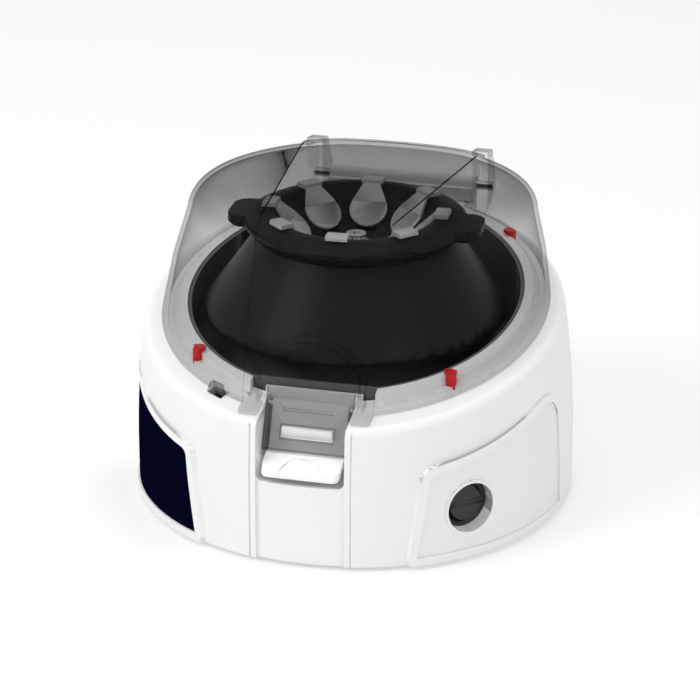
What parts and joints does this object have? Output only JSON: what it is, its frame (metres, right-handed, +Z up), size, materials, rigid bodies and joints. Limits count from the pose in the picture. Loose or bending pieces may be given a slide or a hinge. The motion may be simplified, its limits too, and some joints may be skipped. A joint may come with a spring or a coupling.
{
  "type": "microcentrifuge",
  "caption": "Benchtop microcentrifuge with a hinged clear smoked lid over an angled rotor of small tubes, a front press latch and a side rocker switch",
  "frame": {"origin": "on the surface it stands on, under the rotor axis, which is the middle of the housing's base", "axes": "+Z up, +Y toward the lid hinge at the rear, -Y toward the latch at the front, +X toward the power switch side"},
  "size_m": [0.1528, 0.1522, 0.11],
  "materials": {
    "white_housing": "satin moulded white",
    "white_flap": "satin moulded white",
    "navy_label": "plain navy film, bare",
    "white_panel": "satin moulded white",
    "smoked_lid": "clear smoked, polished",
    "dark_rotor": "polished near-black",
    "dark_bowl": "dark grey, satin",
    "black_plastic": "black, satin",
    "pale_tube": "translucent pale grey",
    "red_rubber": "red, matte",
    "black_rubber": "black, matte",
    "grey_base": "grey, fine texture",
    "green_board": "green board with black parts",
    "plated_steel": "zinc plated",
    "hub_aluminium": "turned",
    "bright_steel": "bright"
  },
  "bodies": {
    "base": {"base_plate": "grey_base", "base_screws": "bright_steel", "bumper_1": "red_rubber", "bumper_2": "red_rubber", "bumper_3": "red_rubber", "bumper_4": "red_rubber", "chamber_bowl": "dark_bowl", "control_board": "green_board", "dc_jack": "black_plastic", "foot_1": "black_rubber", "foot_2": "black_rubber", "foot_3": "black_rubber", "foot_4": "black_rubber", "hinge_block": "white_housing", "hinge_pin": "bright_steel", "hinge_screws": "bright_steel", "housing": "white_housing", "jack_nut": "bright_steel", "label_panel": "navy_label", "latch_bracket": "white_housing", "latch_pin": "bright_steel", "latch_spring": "bright_steel", "lid_switch": "black_plastic", "motor": "plated_steel", "motor_dampers": "black_rubber", "motor_plate": "plated_steel", "motor_screws": "bright_steel", "shaft_seal": "black_rubber", "switch_bezel": "black_plastic", "switch_body": "black_plastic", "switch_panel": "white_panel"},
    "lid_body": {"lid": "smoked_lid"},
    "latch": {"latch_lever": "white_flap"},
    "rocker": {"power_rocker": "black_plastic"},
    "rotor": {"tube_1": "pale_tube", "tube_2": "pale_tube", "tube_3": "pale_tube", "tube_4": "pale_tube", "tube_5": "pale_tube", "tube_6": "pale_tube", "tube_7": "pale_tube", "tube_8": "pale_tube", "rotor_skirt": "dark_rotor", "rotor_head": "dark_rotor", "rotor_hub": "hub_aluminium", "rotor_nut": "hub_aluminium", "motor_shaft": "bright_steel"}
  },
  "joints": [
    {"name": "lid_hinge", "type": "hinge", "parent": "base", "child": "lid_body", "pos_m": [0, 0.07, 0.0874], "axis": [-1, 0, 0], "range_deg": [0, 75]},
    {"name": "latch_press", "type": "hinge", "parent": "base", "child": "latch", "pos_m": [0, -0.058, 0.0505], "axis": [1, 0, 0], "range_deg": [0, 6], "stiffness_Nm_per_rad": 0.2, "springref_deg": -1.72},
    {"name": "power_rocker", "type": "hinge", "parent": "base", "child": "rocker", "pos_m": [0.04964, -0.0514, 0.0192], "axis": [0.7193, 0.6947, 0], "range_deg": [0, 14]},
    {"name": "rotor_spin", "type": "hinge", "parent": "base", "child": "rotor", "pos_m": [0, 0, 0.07], "axis": [0, 0, 1], "continuous": true}
  ]
}
